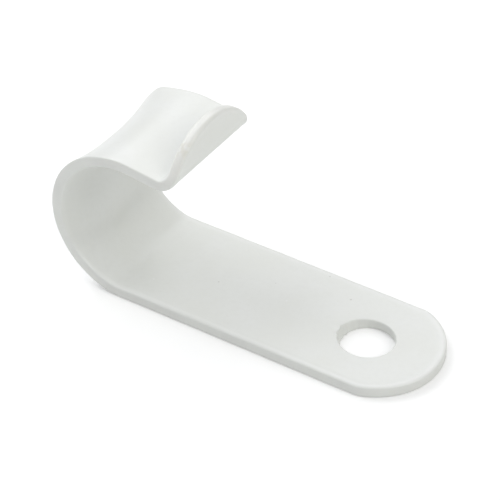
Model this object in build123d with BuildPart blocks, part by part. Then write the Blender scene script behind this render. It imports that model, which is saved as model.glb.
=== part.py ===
from build123d import *
import os
from math import acos, cos, pi, radians, sin, sqrt, tan

# Cable clip: one strip of sheet, coated white, folded into a tail with a screw hole, a hook, a lip and a tab.
# Millimetres. The origin is the centre of the screw hole on the back face, +X runs along the tail to its
# round end, +Y across the strip and +Z out of the surface that the clip is screwed to.

# Strip
strip_width = 12.0          # across the strip
strip_thickness = 1.0       # sheet and coating together
edge_round = 0.2            # soft edge that the coating leaves all round

# Round ends, the same at the tail and at the tab
end_radius = 0.525 * strip_width
end_blend = 2.2             # blend from the round end into the long edges

# Tail
hole_diameter = 4.8         # wide clearance for an M4 screw
hole_edge_round = 0.15      # softened front rim of the hole
tail_length = 22.2          # hole centre to the first bend
end_reach = 6.8             # hole centre to the tip of the round end

# Bends, as inside radii and angles from the plane of the tail
first_bend_radius = 1.7
first_bend_angle = 15.0
hook_radius = 6.6           # inside radius at the two edges, room for an 11 mm cable at mid width
hook_end_angle = 187.0      # where the hook runs into the lip
hook_waist = 0.85           # how far the middle of the hook sinks between its two flared edges
lip_length = 3.0
tab_bend_radius = 0.6
tab_angle = 90.0            # tab stands square to the tail
tab_height = 2.9            # straight part of the tab at mid width

# Values that follow from the sizes above
t = strip_thickness
half = strip_width / 2
rim = min(edge_round, 0.45 * t)
hole_rim = min(hole_edge_round, 0.4 * t)
first_mid = first_bend_radius + t / 2
hook_mid = hook_radius + t / 2
tab_mid = tab_bend_radius + t / 2
tab_turn = hook_end_angle - tab_angle
tab_run = tab_mid * radians(tab_turn)   # strip that the bend up into the tab takes


def heading(psi):
    """Direction of the strip at angle psi: 0 along the tail to the hook, 90 up, 180 back over the tail."""
    return Vector(-cos(radians(psi)), 0, sin(radians(psi)))


def inward(psi):
    """Unit vector square to the strip, towards the space for the cable."""
    return Vector(sin(radians(psi)), 0, cos(radians(psi)))


# Where the pieces of the strip's middle line meet, and the centres of its bends
p_tail = Vector(-tail_length, 0, t / 2)
first_centre = p_tail + inward(0) * first_mid
p_first = first_centre - inward(first_bend_angle) * first_mid
hook_centre = p_first + inward(first_bend_angle) * hook_mid
p_hook = hook_centre - inward(hook_end_angle) * hook_mid
p_lip = p_hook + heading(hook_end_angle) * lip_length
tab_centre = p_lip - inward(hook_end_angle) * tab_mid


def strip_cut(point, psi, sunk=0.0):
    """Cut across the strip with soft corners, sunk towards the inside at mid width."""
    place = Plane(origin=point, x_dir=(0, 1, 0), z_dir=heading(psi))
    dip = sunk if place.y_dir.dot(inward(psi)) > 0 else -sunk
    with BuildSketch(place) as cut:
        with BuildLine():
            Line((-half, t / 2), (-half, -t / 2))
            Line((half, -t / 2), (half, t / 2))
            if sunk > 1e-6:
                ThreePointArc((-half, -t / 2), (0, dip - t / 2), (half, -t / 2))
                ThreePointArc((half, t / 2), (0, dip + t / 2), (-half, t / 2))
            else:
                Line((-half, -t / 2), (half, -t / 2))
                Line((half, t / 2), (-half, t / 2))
        make_face()
        fillet(cut.vertices(), rim)
    return cut.sketch


def round_ended(back, reach):
    """Flat strip on the XY plane, from back to a round end at reach along X, with soft edges."""
    depth = min(0.9 * (reach - back), 0.98 * half)
    arc = max(end_radius, (half**2 + depth**2) / (2 * depth))
    side = reach - arc + sqrt(arc**2 - half**2)
    soft = min(end_blend, 0.8 * (side - back) / tan(acos(half / arc) / 2))
    with BuildPart() as strip:
        with BuildSketch(Plane.XY) as outline:
            with BuildLine():
                Polyline((side, -half), (back, -half), (back, half), (side, half))
                ThreePointArc((side, half), (reach, 0), (side, -half))
            make_face()
            fillet(outline.vertices().sort_by(Axis.X)[-2:], soft)
        extrude(amount=t)
        fillet(strip.edges().filter_by(Plane.XY).filter_by(lambda e: (e @ 0.5).X > back + 1e-4), rim)
    return strip.part


# Tail with its round end and the screw hole
with BuildPart() as tail:
    add(round_ended(-tail_length, end_reach))
    with BuildSketch(Plane.XY):
        Circle(hole_diameter / 2)
    extrude(amount=t, mode=Mode.SUBTRACT)
    fillet(tail.edges().filter_by(GeomType.CIRCLE).filter_by(
        lambda e: abs(e.radius - hole_diameter / 2) < 1e-6 and abs(e.arc_center.Z - t) < 1e-6), hole_rim)

# First bend, tight and shallow
with BuildPart() as first_bend:
    add(strip_cut(p_tail, 0))
    revolve(axis=Axis(first_centre, (0, 1, 0)), revolution_arc=first_bend_angle)

# Hook, sunk at mid width between flared edges
steps = [0, 0.03, 0.1, 0.2, 0.35, 0.5, 0.65, 0.8, 0.9, 0.97, 1]
with BuildPart() as hook:
    for u in steps:
        psi = first_bend_angle + u * (hook_end_angle - first_bend_angle)
        add(strip_cut(hook_centre - inward(psi) * hook_mid, psi, hook_waist * sin(pi * u) ** 2))
    loft()

# Lip and tab start as one flat strip with a round end, X = 0 where the bend between them ends
flat_end = round_ended(-tab_run - lip_length, tab_height)


def folded(run):
    """Place in the clip of the flat strip where the bend has reached X = run."""
    psi = tab_angle - run / tab_run * tab_turn
    point = tab_centre + inward(psi) * (tab_mid - t / 2)
    return Plane(origin=point, x_dir=heading(psi), z_dir=inward(psi)).location * Location((-run, 0, 0))


with BuildPart() as lip:
    add(flat_end)
    split(bisect_by=Plane.YZ.offset(-tab_run), keep=Keep.BOTTOM)

with BuildPart() as tab:
    add(flat_end)
    split(bisect_by=Plane.YZ, keep=Keep.TOP)

# Bend up into the tab, through the flat strip's cuts laid around it
turns = [0, 0.2, 0.45, 0.7, 0.85, 1]
with BuildPart() as tab_bend:
    for u in turns:
        run = (u - 1) * tab_run
        cut = section(flat_end, section_by=Plane.YZ.offset(run), mode=Mode.PRIVATE)
        add(cut.moved(folded(run)))
    loft()

# One folded piece
with BuildPart() as clip:
    for piece in (tail, first_bend, hook, tab_bend):
        add(piece.part)
    add(lip.part.moved(folded(-tab_run)))
    add(tab.part.moved(folded(0)))

clip.part.label = "clip"
os.makedirs("parts", exist_ok=True)
export_step(clip.part, "parts/clip.step")
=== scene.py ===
import math
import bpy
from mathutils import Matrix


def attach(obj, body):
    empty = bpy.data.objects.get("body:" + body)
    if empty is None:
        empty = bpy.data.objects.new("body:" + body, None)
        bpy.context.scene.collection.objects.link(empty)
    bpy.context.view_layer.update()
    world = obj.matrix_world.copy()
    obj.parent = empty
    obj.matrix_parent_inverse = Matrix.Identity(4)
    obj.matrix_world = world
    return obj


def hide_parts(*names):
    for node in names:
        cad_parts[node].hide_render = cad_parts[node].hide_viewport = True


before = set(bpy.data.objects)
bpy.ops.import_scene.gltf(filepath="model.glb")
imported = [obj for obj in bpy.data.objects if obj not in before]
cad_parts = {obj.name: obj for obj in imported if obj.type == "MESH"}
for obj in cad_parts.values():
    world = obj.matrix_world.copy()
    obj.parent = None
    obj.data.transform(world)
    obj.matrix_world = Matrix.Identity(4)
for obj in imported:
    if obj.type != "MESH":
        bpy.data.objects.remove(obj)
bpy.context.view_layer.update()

from types import SimpleNamespace
import bmesh
import bpy
import numpy as np
from mathutils import Matrix, Vector
from mathutils.geometry import delaunay_2d_cdt

# Cable clip, one coated strip. The strip is meshed flat, with its soft edges and its torn hole, and then
# folded along the solid's middle line. Lengths are millimetres until a mesh is made, which is in metres like
# the scene.

scene = bpy.context.scene
scene.view_settings.view_transform = "Standard"
MM = 0.001

# Strip and its two round ends
HALF = 6.0                  # half the width
THICK = 1.0
END_RADIUS, END_BLEND = 6.3, 2.2
REACH = 6.8                 # hole centre to the tip of the tail
HOLE_RADIUS = 2.4

# Bends of the solid, as radius at mid thickness and turn
TAIL_LENGTH = 22.2          # hole centre to the tight first bend
TIGHT_R, TIGHT_TURN = 2.2, math.radians(15)
HOOK_R, HOOK_END = 7.1, math.radians(187)       # the hook's end as an angle from the tail
TAB_R, TAB_TURN = 1.1, HOOK_END - math.radians(90)      # the tab stands square to the tail
LIP_LENGTH, TAB_HEIGHT = 3.0, 2.9
HOOK_X = (HOOK_R - TIGHT_R) * math.sin(TIGHT_TURN) - TAIL_LENGTH
HOOK_Z = (HOOK_R - TIGHT_R) * math.cos(TIGHT_TURN) + TIGHT_R + THICK / 2

# Folds along the strip from the tip of the tail, as length and radius at mid thickness.
# A radius above 0 turns towards the cable, below 0 away from it, and 0 is straight.
# The first bend is softer than the solid's, between the same tail and the same hook.
BEND_R = 3.5
BEND_TURN = math.acos((HOOK_Z - THICK / 2 - BEND_R) / (HOOK_R - BEND_R))
TAIL = (REACH - HOOK_X + (HOOK_R - BEND_R) * math.sin(BEND_TURN), 0.0)
FIRST_BEND = (BEND_R * BEND_TURN, BEND_R)
HOOK = (HOOK_R * (HOOK_END - BEND_TURN), HOOK_R)
LIP = (LIP_LENGTH, 0.0)
TAB_BEND = (TAB_R * TAB_TURN, -TAB_R)
TAB = (TAB_HEIGHT, 0.0)
FOLDS = (TAIL, FIRST_BEND, HOOK, LIP, TAB_BEND, TAB)
STARTS = np.cumsum([0.0] + [length for length, _ in FOLDS])
S_FIRST, S_HOOK, S_LIP, S_TAB_BEND, S_TAB, S_TIP = STARTS[1:]

# How this clip differs from a perfect fold
WAIST = 0.85                # the hook's middle sinks between its edges
ALL_IN = 0.06               # and its whole width lies a little further in
FAR_DROP = 0.35             # the far edge of the hook is bent in further
FAR_CREASE = 0.86           # and turns over more sharply at its crown
CREASE_AT, CREASE_WIDE, CREASE_TIP = math.radians(150), math.radians(16), math.radians(4)
NEAR_TRIM = 0.2             # the near edge of the tail is cut a little further in

# Coating along the edges
RIM, TAB_RIM = 0.14, 0.32   # soft edges, fuller round the tab
BEAD, BEAD_AT, BEAD_WIDE = 0.06, 0.3, 0.22  # bead on the front face: height, distance from the edge, spread
HOOK_BEAD, BEAD_FADE = 0.3, 4.0             # share of it left in the hook, and the length over which it fades
EDGE_INSET = 0.012          # mean inset of the uneven edge
EDGE_WAVES = ((0.007, 23, 0.6), (0.005, 41, 2.1))       # height, number and phase

# Torn hole, with angle 0 towards the tip of the tail
HOLE_RIM, HOLE_BACK_RIM = 0.13, 0.1
HOLE_WAVES = ((0.045, 19, 0.0), (0.035, 31, 1.3))
HOLE_INSET = 0.02           # coating that narrows the torn side
LUMP, LUMPS = 0.045, 13     # half height and number of the lumps of coating round it
RAGGED_AT = (1.02, 0.6)     # where it is ragged: the middle in half turns, and the spread
FLARE, FLARE_AT = 0.3, (0.94, 0.95)             # how far the front edge is torn open, and where
BACK_FLARE, BACK_FLARE_AT = 0.17, (0.65, 0.8)   # the same for the back edge

# Density of the mesh
EDGE_STEP = 0.14                            # along the edges
BEND_STEP, BEND_MARGIN = 0.075, 0.6         # closer in the bend to the tab, and that far beside it
ROUND = np.linspace(0, np.pi / 2, 8)        # steps over a soft edge
MARGIN = (0.1, 0.22, 0.36, 0.55)            # rings on the face beside an edge
HOLE_MARGIN = ((0.12, 0.5), (0.3, 0.0))     # rings beside the hole, with the share of the lumps left there
HOLE_ANGLES = np.linspace(0, 2 * np.pi, 168, endpoint=False)
END_STEPS, BLEND_STEPS = 120, 40            # round end and its blend, before they are spaced evenly
ROWS, ACROSS = (88, 9, 92, 14, 30, 13), 39  # points of a face along each fold, and across
GRID_GAP = 0.16                             # between those points and the edge


def heading(psi):
    """Direction of the strip in the XZ plane at angle psi, 0 along the tail to the hook."""
    return np.stack([-np.cos(psi), np.sin(psi)], -1)


def inward(psi):
    """Direction square to the strip, towards the cable."""
    return np.stack([np.sin(psi), np.cos(psi)], -1)


def middle_line(s):
    """Points of the strip's middle line in the XZ plane, and its angle, at lengths s from the tail's tip."""
    line, psi = np.zeros(s.shape + (2,)), np.zeros(s.shape)
    at, angle = np.array([REACH, THICK / 2]), 0.0
    for start, (length, radius) in zip(STARTS, FOLDS):
        here = s >= start
        run = np.clip(s - start, 0, length)[here]
        if radius:
            centre = at + radius * inward(np.array(angle))
            psi[here] = angle + run / radius
            line[here] = centre - radius * inward(psi[here])
            angle += length / radius
            at = centre - radius * inward(np.array(angle))
        else:
            psi[here] = angle
            line[here] = at + heading(np.array(angle)) * run[:, None]
            at = at + heading(np.array(angle)) * length
    return line, psi


def fold(s, y, h):
    """Takes points of the flat strip, given along, across and out of its middle, into the clip, in metres."""
    line, psi = middle_line(s)
    u = np.clip((s - S_HOOK) / (S_LIP - S_HOOK), 0, 1)
    bow = np.sin(np.pi * u) ** 2
    near, far = np.clip(-y / HALF, 0, 1), np.clip(y / HALF, 0, 1)
    crease = np.exp((CREASE_TIP - np.hypot(psi - CREASE_AT, CREASE_TIP)) / CREASE_WIDE)
    sunk = bow * (WAIST * (1 - near**3 - far**2) + ALL_IN)
    sunk += far**2 * np.sin(np.pi * u) * (FAR_DROP - FAR_CREASE * crease)
    y = y + NEAR_TRIM * near * np.clip((S_LIP - s) / (S_LIP - S_FIRST), 0, 1)
    xz = line + inward(psi) * (h + sunk)[:, None]
    return np.stack([xz[:, 0], y, xz[:, 1]], -1) * MM


def ripple(turn, waves):
    """Sum of waves round a closed line, each given as height, number and phase."""
    return sum(height * np.sin(number * turn + phase) for height, number, phase in waves)


def round_end():
    """Half outline of a round end, from its tip to the straight side, as distance back from the tip and y."""
    shift = math.sqrt((END_RADIUS - END_BLEND) ** 2 - (HALF - END_BLEND) ** 2)
    turn = math.atan2(HALF - END_BLEND, shift)
    a = np.linspace(0, turn, END_STEPS)
    tip = np.stack([END_RADIUS * (1 - np.cos(a)), END_RADIUS * np.sin(a)], -1)
    a = np.linspace(turn, np.pi / 2, BLEND_STEPS)[1:]
    blend = np.stack([END_RADIUS - shift - END_BLEND * np.cos(a), HALF - END_BLEND * (1 - np.sin(a))], -1)
    return np.concatenate([tip, blend])


def edge_spacing(s):
    """Distance between the points of the outline."""
    at_bend = (s > S_TAB_BEND - BEND_MARGIN) & (s < S_TAB + BEND_MARGIN)
    return np.where(at_bend, BEND_STEP, EDGE_STEP)


def even_steps(points):
    """The same line with its points spaced as the outline's are."""
    step = np.linalg.norm(np.diff(points, axis=0), axis=1)
    along = np.concatenate([[0], np.cumsum(step)])
    need = np.concatenate([[0], np.cumsum(step / edge_spacing(points[1:, 0]))])
    where = np.interp(np.linspace(0, need[-1], round(need[-1]) + 1), need, along)
    return np.stack([np.interp(where, along, points[:, k]) for k in (0, 1)], -1)


def strip_outline():
    """Closed outline of the flat strip, not quite even, and the direction into the strip at each point."""
    end = round_end()
    half = even_steps(np.concatenate([end, (end * [-1, 1] + [S_TIP, 0])[::-1]]))
    loop = np.concatenate([half, half[-2:0:-1] * [1, -1]])
    side = np.roll(loop, -1, 0) - np.roll(loop, 1, 0)
    side /= np.linalg.norm(side, axis=1)[:, None]
    into = np.stack([side[:, 1], -side[:, 0]], -1)
    turn = np.linspace(0, 2 * np.pi, len(loop), endpoint=False)
    return loop + into * (EDGE_INSET + ripple(turn, EDGE_WAVES))[:, None], into


class StripMesh:
    """Collects the points of the flat strip and the faces between them."""

    def __init__(self):
        self.points, self.faces = [], []
        self.marks = {"edge": [], "gathered": []}
        self.count = 0

    def add(self, s, y, h, edge=0.0, gathered=0.0):
        """Adds points and gives their numbers. Edge is 1 on the outermost edge, gathered 1 on the bead."""
        s, y, h, edge, gathered = np.broadcast_arrays(s, y, h, edge, gathered)
        self.points.append(fold(s, y, h))
        self.marks["edge"].append(edge)
        self.marks["gathered"].append(gathered)
        self.count += len(s)
        return np.arange(self.count - len(s), self.count)

    def join(self, ring, other):
        """Quads between two closed rings of as many points."""
        self.faces += np.stack([ring, np.roll(ring, -1), np.roll(other, -1), other], -1).tolist()

    def join_all(self, rings):
        for ring, other in zip(rings[:-1], rings[1:]):
            self.join(ring, other)

    def make(self, name):
        """Smooth object, with the marks as point attributes for its material."""
        mesh = bpy.data.meshes.new(name)
        mesh.from_pydata(np.concatenate(self.points).tolist(), [], self.faces)
        bm = bmesh.new()
        bm.from_mesh(mesh)
        bmesh.ops.recalc_face_normals(bm, faces=bm.faces)
        bm.to_mesh(mesh)
        bm.free()
        mesh.shade_smooth()
        for mark, values in self.marks.items():
            attribute = mesh.attributes.new(mark, "FLOAT", "POINT")
            attribute.data.foreach_set("value", np.concatenate(values).astype(np.float32))
        obj = bpy.data.objects.new(name, mesh)
        scene.collection.objects.link(obj)
        return obj


def bead(inset):
    """Share of the bead's height at a distance in from the edge."""
    return np.exp(-(((inset - BEAD_AT) / BEAD_WIDE) ** 2))


def edge_rings(strip, side, loop, into):
    """Rings of the outer edge on one face, from its wall to a little way in, and the line of the last."""
    s = loop[:, 0]
    rim = RIM + (TAB_RIM - RIM) * np.clip((s - S_TAB_BEND) / (S_TAB - S_TAB_BEND), 0, 1)
    fade = np.clip((S_HOOK + BEAD_FADE - s) / BEAD_FADE, 0, 1)
    raised = HOOK_BEAD + (1 - HOOK_BEAD) * fade if side > 0 else 0.0
    over_edge = [(rim * (1 - math.cos(a)), math.sin(a), math.cos(a)) for a in ROUND]
    beside_it = [(rim + more, 1.0, 0.0) for more in MARGIN]
    rings = []
    for inset, rise, edge in over_edge + beside_it:
        line = loop + into * inset[:, None]
        gathered = raised * bead(inset) * rise
        h = THICK / 2 - rim * (1 - rise) + BEAD * gathered
        rings.append(strip.add(line[:, 0], line[:, 1], side * h, edge, gathered))
    return rings, line


def torn(middle, spread):
    """1 at an angle round the hole, given in half turns, and less to both sides of it."""
    return np.exp(-(((HOLE_ANGLES - middle * np.pi) / spread) ** 2))


def hole_rings(strip, side):
    """Rings of the hole's rim on one face, torn on the hook's side, and the line of the last."""
    ragged = torn(*RAGGED_AT)
    if side > 0:
        rim, radius = HOLE_RIM, HOLE_RADIUS + FLARE * torn(*FLARE_AT)
        lump = LUMP * ragged * (1 + np.sin(LUMPS * HOLE_ANGLES))
    else:
        rim, radius = HOLE_BACK_RIM, HOLE_RADIUS + BACK_FLARE * torn(*BACK_FLARE_AT)
        lump = 0 * ragged
    wall = radius + ragged * (ripple(HOLE_ANGLES, HOLE_WAVES) - HOLE_INSET)
    over_edge = [(wall + rim * (1 - math.cos(a)), (rim + lump) * math.sin(a) - rim, math.cos(a))
                 for a in ROUND]
    beside_it = [(radius + rim + more, share * lump, 0.0) for more, share in HOLE_MARGIN]
    rings = []
    for r, rise, edge in over_edge + beside_it:
        line = np.stack([REACH - r * np.cos(HOLE_ANGLES), r * np.sin(HOLE_ANGLES)], -1)
        rings.append(strip.add(line[:, 0], line[:, 1], side * (THICK / 2 + rise), edge))
    return rings, line


def face_points(line, hole):
    """Grid of points on a face, closer together along the bends, inside its outer line and off the hole."""
    stretches = zip(STARTS[:-1], STARTS[1:], ROWS)
    rows = np.unique(np.concatenate([np.linspace(*stretch) for stretch in stretches]))
    grid = np.stack(np.meshgrid(rows, np.linspace(-HALF, HALF, ACROSS), indexing="ij"), -1)
    upper = line[: len(line) // 2 + 1]
    wide = np.interp(rows, upper[:, 0], upper[:, 1]) - GRID_GAP
    grid = grid[np.abs(grid[..., 1]) < wide[:, None]]
    inside = (grid[:, 0] > upper[0, 0] + GRID_GAP) & (grid[:, 0] < upper[-1, 0] - GRID_GAP)
    off_hole = np.hypot(*(grid - [REACH, 0]).T) > np.hypot(*(hole - [REACH, 0]).T).max() + GRID_GAP
    return grid[off_hole & inside]


def fill_face(strip, side, line, line_ids, hole, hole_ids):
    """Triangles of one face, between its outer line and the hole."""
    grid = face_points(line, hole)
    grid_ids = strip.add(grid[:, 0], grid[:, 1], side * THICK / 2)
    flat = [Vector(p) for p in np.concatenate([line, hole, grid]).tolist()]
    ids = np.concatenate([line_ids, hole_ids, grid_ids])
    n, m = len(line), len(hole)
    hole_edges = [(n + i, n + (i + 1) % m) for i in range(m)]
    inside_without_holes, same_point = 2, 1e-7
    got = delaunay_2d_cdt(flat, hole_edges, [range(n)], inside_without_holes, same_point)
    triangles, sources = got[2], got[3]
    number = np.array([ids[source[0]] for source in sources])
    strip.faces += number[np.array(triangles)].tolist()


def make_strip():
    """The whole clip as one closed mesh."""
    strip = StripMesh()
    loop, into = strip_outline()
    walls = []
    for side in (1, -1):
        outer, line = edge_rings(strip, side, loop, into)
        inner, hole = hole_rings(strip, side)
        strip.join_all(outer)
        strip.join_all(inner)
        fill_face(strip, side, line, outer[-1], hole, inner[-1])
        walls.append((outer[0], inner[0]))
    for front, back in zip(*walls):
        strip.join(front, back)
    return strip.make("coated_strip")


def add_node(tree, kind, values=None, **settings):
    """New node with its settings. Values go to its inputs by name or number; a socket is linked."""
    node = tree.nodes.new("ShaderNode" + kind)
    for name, value in settings.items():
        setattr(node, name, value)
    for key, value in (values or {}).items():
        if isinstance(value, bpy.types.NodeSocket):
            tree.links.new(value, node.inputs[key])
        else:
            node.inputs[key].default_value = value
    return node


def mix(tree, factor, a, b):
    """Colour a, turned into colour b by factor."""
    return add_node(tree, "MixRGB", {"Fac": factor, "Color1": a, "Color2": b}).outputs["Color"]


def ramp(tree, value, low, high, to_low=0.0, to_high=1.0):
    """Value from low to high taken evenly to to_low to to_high, and held there beyond."""
    inputs = {"Value": value, "From Min": low, "From Max": high, "To Min": to_low, "To Max": to_high}
    return add_node(tree, "MapRange", inputs).outputs["Result"]


def calc(tree, operation, a, b):
    return add_node(tree, "Math", {0: a, 1: b}, operation=operation).outputs[0]


def times(tree, first, *others):
    """Product of sockets and numbers."""
    for other in others:
        first = calc(tree, "MULTIPLY", first, other)
    return first


def noise(tree, place, size, detail):
    """Cloudy pattern with spots of about the given size."""
    inputs = {"Vector": place, "Scale": 1 / (size * MM), "Detail": detail}
    return add_node(tree, "TexNoise", inputs).outputs["Fac"]


def near_point(tree, place, point, radius, core=0.35):
    """1 round a point, up to a share core of the radius, and 0 from the radius on."""
    away = add_node(tree, "VectorMath", {0: place, 1: Vector(point) * MM}, operation="DISTANCE")
    return ramp(tree, away.outputs["Value"], core * radius * MM, radius * MM, 1.0, 0.0)


def specks(tree, place, spots):
    """1 on any of the specks on the front of the tail."""
    found = 0.0
    for x, y, radius in spots:
        found = calc(tree, "MAXIMUM", near_point(tree, place, (x, y, THICK), radius), found)
    return found


# Marks in the coating: specks on the tail's front, as x, y and radius, and a worn place on the tab's edge
DARK_SPECKS = ((-14.9, -0.4, 0.1), (-10.6, 2.1, 0.07), (-3.9, 3.7, 0.13), (-7.1, 5.4, 0.09))
LIGHT_SPECKS = ((-19.9, -3.1, 0.12), (-8.5, 0.6, 0.12))
WORN_PLACE, WORN_RADIUS = (-15.9, -3.3, 16.4), 1.1
YELLOW_LOW, YELLOW_HIGH = 14.3 * MM, 15.5 * MM      # heights between which the tab's edge turns yellow
YELLOW_NEAR, YELLOW_FAR = -4.5 * MM, -2.0 * MM      # and where it fades across the tab

# Colours of the coating
CLOUD_DARK, CLOUD_PALE = (0.79, 0.80, 0.765, 1), (0.81, 0.82, 0.795, 1)
MOTTLED = (0.77, 0.775, 0.745, 1)
# paler colour for the bead on the front face: a painted highlight
BEAD_HIGHLIGHT = (0.88, 0.885, 0.87, 1)
THIN = (0.66, 0.655, 0.62, 1)
DARK_SPECK, LIGHT_SPECK = (0.5, 0.49, 0.46, 1), (0.9, 0.9, 0.89, 1)
YELLOWED = (0.87, 0.86, 0.81, 1)
WORN = (0.64, 0.615, 0.5, 1)


def coating_marks(tree):
    """Where the coating varies: noises, edges, specks and worn places."""
    place = add_node(tree, "TexCoord").outputs["Object"]
    axes = add_node(tree, "SeparateXYZ", {0: place}).outputs
    at = SimpleNamespace()
    at.clouds = noise(tree, place, 5.0, 3)
    at.mottle = noise(tree, place, 0.45, 2)
    at.peel = noise(tree, place, 0.7, 2)
    at.grain = noise(tree, place, 0.12, 1)
    at.edge = add_node(tree, "Attribute", attribute_name="edge").outputs["Fac"]
    at.gathered = add_node(tree, "Attribute", attribute_name="gathered").outputs["Fac"]
    at.dark = specks(tree, place, DARK_SPECKS)
    at.light = specks(tree, place, LIGHT_SPECKS)
    at.thin = times(tree, ramp(tree, at.edge, 0.5, 1.0), ramp(tree, at.clouds, 0.42, 0.62, 0.0, 0.3))
    at.yellowed = times(tree, ramp(tree, axes["Z"], YELLOW_LOW, YELLOW_HIGH), ramp(tree, at.edge, 0.1, 0.7),
                        ramp(tree, axes["Y"], YELLOW_NEAR, YELLOW_FAR, 0.6, 0.4),
                        ramp(tree, at.mottle, 0.35, 0.65, 0.5, 1.0))
    at.worn = times(tree, near_point(tree, place, WORN_PLACE, WORN_RADIUS), ramp(tree, at.mottle, 0.42, 0.58),
                    ramp(tree, at.edge, 0.15, 0.7))
    return at


def coating_colour(tree, at):
    """White, with each kind of mark laid over the last, and a painted highlight along the bead."""
    colour = mix(tree, ramp(tree, at.clouds, 0.35, 0.65), CLOUD_DARK, CLOUD_PALE)
    colour = mix(tree, ramp(tree, at.mottle, 0.45, 0.75, 0.0, 0.35), colour, MOTTLED)
    # painted highlight: the bead on the front face is laid over in a paler colour
    colour = mix(tree, times(tree, at.gathered, 0.5), colour, BEAD_HIGHLIGHT)
    colour = mix(tree, at.thin, colour, THIN)
    colour = mix(tree, times(tree, at.dark, 0.55), colour, DARK_SPECK)
    colour = mix(tree, times(tree, at.light, 0.6), colour, LIGHT_SPECK)
    colour = mix(tree, at.yellowed, colour, YELLOWED)
    return mix(tree, times(tree, at.worn, 0.5), colour, WORN)


def coating_roughness(tree, at):
    """Satin, a little uneven, and duller where it is worn."""
    cloudy = ramp(tree, at.clouds, 0.3, 0.7, 0.31, 0.35)
    mottled = ramp(tree, at.mottle, 0.3, 0.7, -0.02, 0.02)
    return calc(tree, "ADD", calc(tree, "ADD", cloudy, mottled), times(tree, at.worn, 0.25))


def coating_bump(tree, at):
    """Orange peel with a fine grain, raised at the light specks and sunk at the dark ones."""
    height = calc(tree, "ADD", at.peel, times(tree, at.grain, 0.12))
    height = calc(tree, "ADD", height, times(tree, calc(tree, "SUBTRACT", at.light, at.dark), 1.2))
    bump = add_node(tree, "Bump", {"Height": height, "Strength": 0.5, "Distance": 0.008 * MM})
    return bump.outputs["Normal"]


def coating():
    """Satin white coating: faint clouds, fine orange peel, a few specks, thin and worn along the edges."""
    material = bpy.data.materials.new("coating")
    material.use_nodes = True
    tree = material.node_tree
    shader = tree.nodes["Principled BSDF"]
    at = coating_marks(tree)
    tree.links.new(coating_colour(tree, at), shader.inputs["Base Color"])
    tree.links.new(coating_roughness(tree, at), shader.inputs["Roughness"])
    tree.links.new(coating_bump(tree, at), shader.inputs["Normal"])
    shader.inputs["Specular IOR Level"].default_value = 0.75
    return material


# Floor of white paper, in metres
FLOOR_SIZE, FLOOR_GAP = 3.0, 0.00002
PAPER, PAPER_SEEN = (0.885, 0.89, 0.88, 1), (0.9, 0.9, 0.9, 1)
GLOW_NEAR, GLOW_FAR = 0.2, 0.5      # glow to the camera, weaker beside the clip so that its shadow shows
NEAR_CLIP, FAR_OFF = 0.03, 0.15     # distances that they hold at


def paper():
    """Floor that is white to the camera, keeps the clip's shadow and throws light back like white paper."""
    material = bpy.data.materials.new("paper")
    material.use_nodes = True
    tree = material.node_tree
    tree.nodes.clear()
    path = add_node(tree, "LightPath").outputs
    seen = calc(tree, "MAXIMUM", path["Is Camera Ray"], path["Is Transmission Ray"])
    place = add_node(tree, "TexCoord").outputs["Object"]
    away = add_node(tree, "VectorMath", {0: place}, operation="LENGTH").outputs["Value"]
    strength = ramp(tree, away, NEAR_CLIP, FAR_OFF, GLOW_NEAR, GLOW_FAR)
    glow = add_node(tree, "Emission", {"Color": (1, 1, 1, 1), "Strength": strength})
    lit = add_node(tree, "BsdfDiffuse", {"Color": PAPER_SEEN})
    white = add_node(tree, "AddShader", {0: glow.outputs[0], 1: lit.outputs[0]})
    plain = add_node(tree, "BsdfDiffuse", {"Color": PAPER})
    shown = add_node(tree, "MixShader", {0: seen, 1: plain.outputs[0], 2: white.outputs[0]})
    add_node(tree, "OutputMaterial", {"Surface": shown.outputs[0]})
    return material


# Pale room, with a dark side low down that the inside of the hook mirrors
ROOM, ROOM_DARK, ROOM_SEEN = 0.57, 0.02, 1.05       # strength, in the dark side, and to the camera
ROOM_COLOUR = (0.97, 0.98, 1.0, 1)
DARK_AT = math.radians(41.15)       # turned from the tail's direction
DARK_SIDE = (math.cos(DARK_AT), math.sin(DARK_AT), 0.0)


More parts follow.
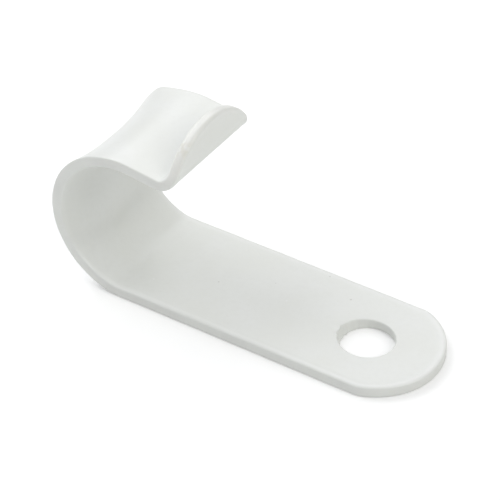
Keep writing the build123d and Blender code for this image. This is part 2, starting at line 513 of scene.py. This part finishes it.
def room():
    """Pale room, darker low down behind the clip to the right, and white to the camera."""
    world = bpy.data.worlds.new("room")
    world.use_nodes = True
    tree = world.node_tree
    background = tree.nodes["Background"]
    background.inputs["Color"].default_value = ROOM_COLOUR
    way = add_node(tree, "TexCoord").outputs["Generated"]
    towards = add_node(tree, "VectorMath", {0: way, 1: DARK_SIDE}, operation="DOT_PRODUCT").outputs["Value"]
    height = add_node(tree, "SeparateXYZ", {0: way}).outputs["Z"]
    dark = times(tree, ramp(tree, towards, 0.8, 0.94), ramp(tree, height, 0.2, 0.5, 1.0, 0.0))
    seen = times(tree, add_node(tree, "LightPath").outputs["Is Camera Ray"], ROOM_SEEN)
    strength = calc(tree, "MAXIMUM", ramp(tree, dark, 0.0, 1.0, ROOM, ROOM_DARK), seen)
    tree.links.new(strength, background.inputs["Strength"])
    return world


# Soft boxes on both sides and behind: name, place, size, power and colour
LAMPS = (
    ("left", (-0.18, 0.0, 0.175), 0.175, 0.193, (0.98, 0.985, 1.0)),
    ("back_left", (-0.127, 0.127, 0.175), 0.175, 0.09, (0.97, 0.98, 1.0)),
    ("right", (0.365, 0.0, 0.345), 0.35, 0.705, (1.0, 0.995, 0.935)),
)
LAMP_AIM = Vector((-0.01, 0.0, 0.005))


def soft_lamp(name, place, size, power, colour):
    """Round soft box at place, facing the clip."""
    data = bpy.data.lights.new(name, "AREA")
    data.shape = "DISK"
    data.size = size
    data.energy = power
    data.color = colour
    lamp = bpy.data.objects.new(name, data)
    lamp.location = place
    lamp.rotation_euler = (LAMP_AIM - Vector(place)).to_track_quat("-Z", "Y").to_euler()
    scene.collection.objects.link(lamp)


# Camera where the photo was taken from: angles, the point that it looks at and its distance from there
AZIMUTH, ELEVATION, ROLL = math.radians(33.9484), math.radians(38.2838), math.radians(-0.9573)
AIM, DISTANCE = Vector((-0.0118248, 0.0, 0.0055669)), 0.2147585
LENS, SENSOR = 180.7, 36.0


def photo_camera():
    data = bpy.data.cameras.new("camera")
    data.lens = LENS
    data.sensor_width = SENSOR
    data.clip_start = 0.01
    camera = bpy.data.objects.new("camera", data)
    tilt = Matrix.Rotation(math.pi / 2 - ELEVATION, 4, "X")
    turned = Matrix.Rotation(AZIMUTH, 4, "Z") @ tilt @ Matrix.Rotation(ROLL, 4, "Z")
    camera.matrix_world = Matrix.Translation(AIM) @ turned @ Matrix.Translation((0, 0, DISTANCE))
    scene.collection.objects.link(camera)
    return camera


strip = make_strip()
strip.data.materials.append(coating())
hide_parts("clip")
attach(strip, "root")

bpy.ops.mesh.primitive_plane_add(size=FLOOR_SIZE, location=(0, 0, -FLOOR_GAP))
floor = bpy.context.object
floor.name = "floor"
floor.data.materials.append(paper())

scene.world = room()
for lamp in LAMPS:
    soft_lamp(*lamp)
scene.camera = photo_camera()
